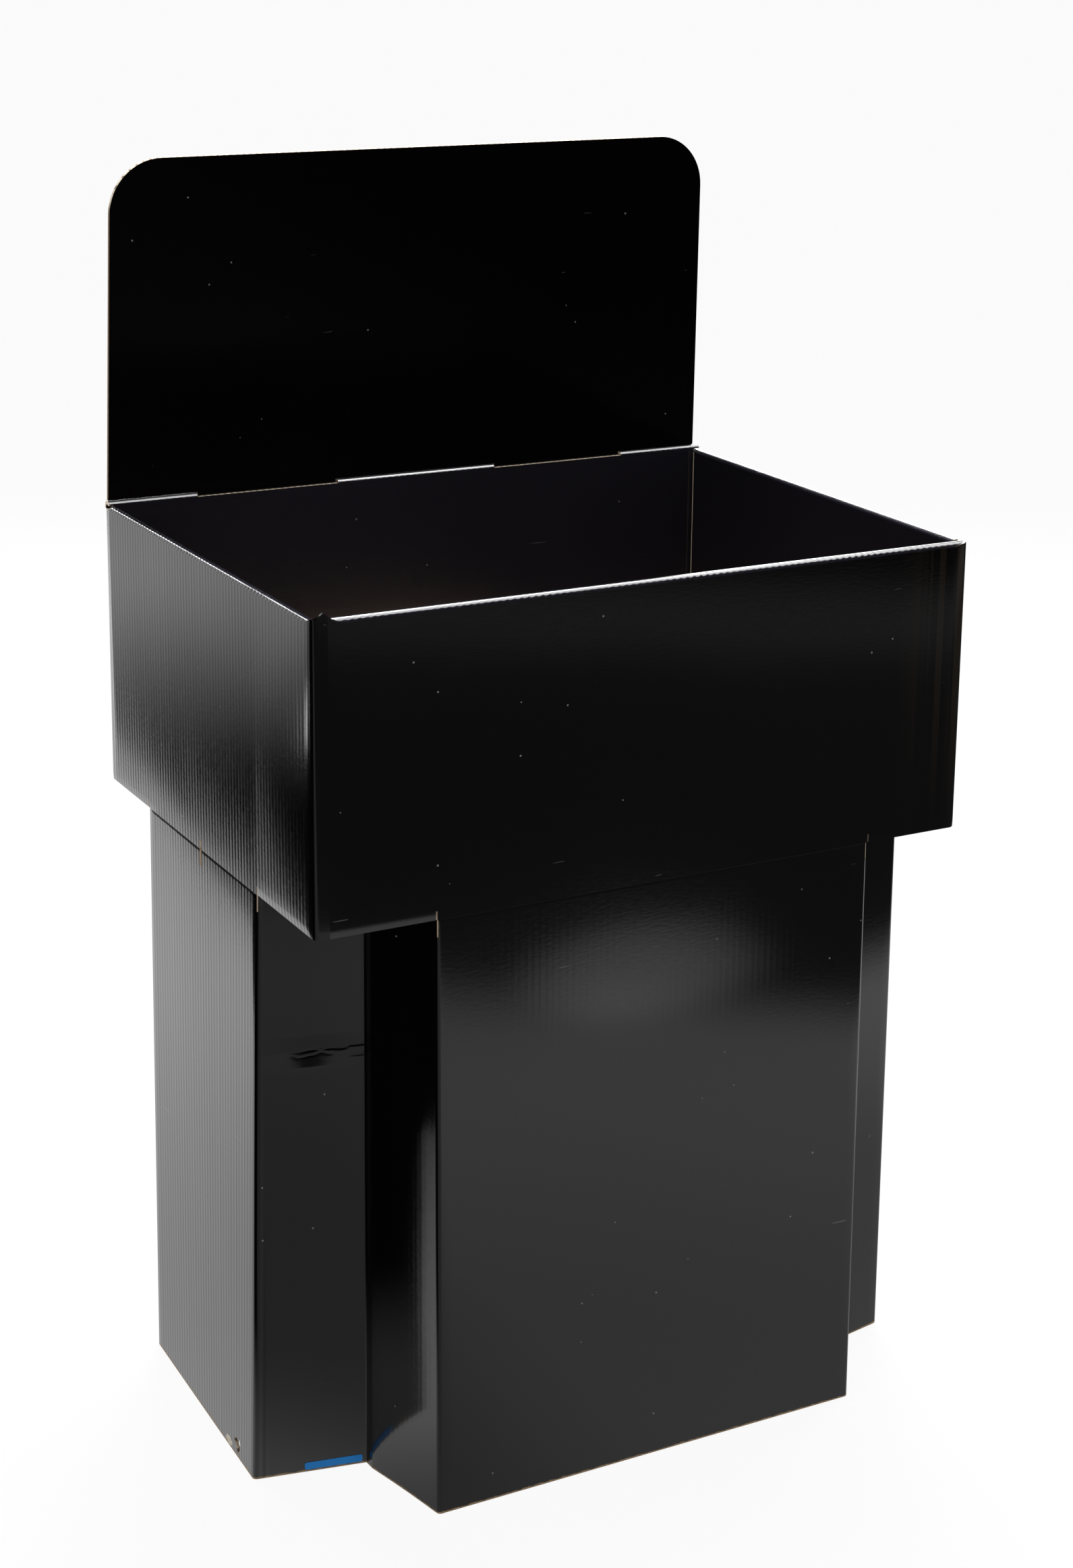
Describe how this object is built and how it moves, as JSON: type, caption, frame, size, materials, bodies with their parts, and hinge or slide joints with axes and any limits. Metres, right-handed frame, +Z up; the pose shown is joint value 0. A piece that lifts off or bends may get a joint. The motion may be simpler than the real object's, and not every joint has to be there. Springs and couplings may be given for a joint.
{
  "type": "cardboard bulk bin",
  "caption": "Floor-standing corrugated bulk bin on a plus-shaped popped-corner base, with folded-over rims and a rounded header panel slotted into the rear rim.",
  "frame": {"origin": "on the floor, under the middle of the bin", "axes": "+Z up, the front of the bin towards -Y, +X to the right as seen from the front"},
  "size_m": [0.6328, 0.4628, 1.0977],
  "materials": {
    "printed_board": "corrugated board with a glossy black laminated face, kraft inside and at the cut edges",
    "header_board": "corrugated board with a satin black laminated face",
    "plain_kraft": "plain brown corrugated board, dull",
    "blue_paper": "plain blue paper, slightly glossy"
  },
  "bodies": {
    "root": {"bin_body": "printed_board", "header_panel": "header_board", "bin_floor": "plain_kraft", "centre_support": "plain_kraft", "plain_label": "blue_paper"}
  },
  "joints": []
}
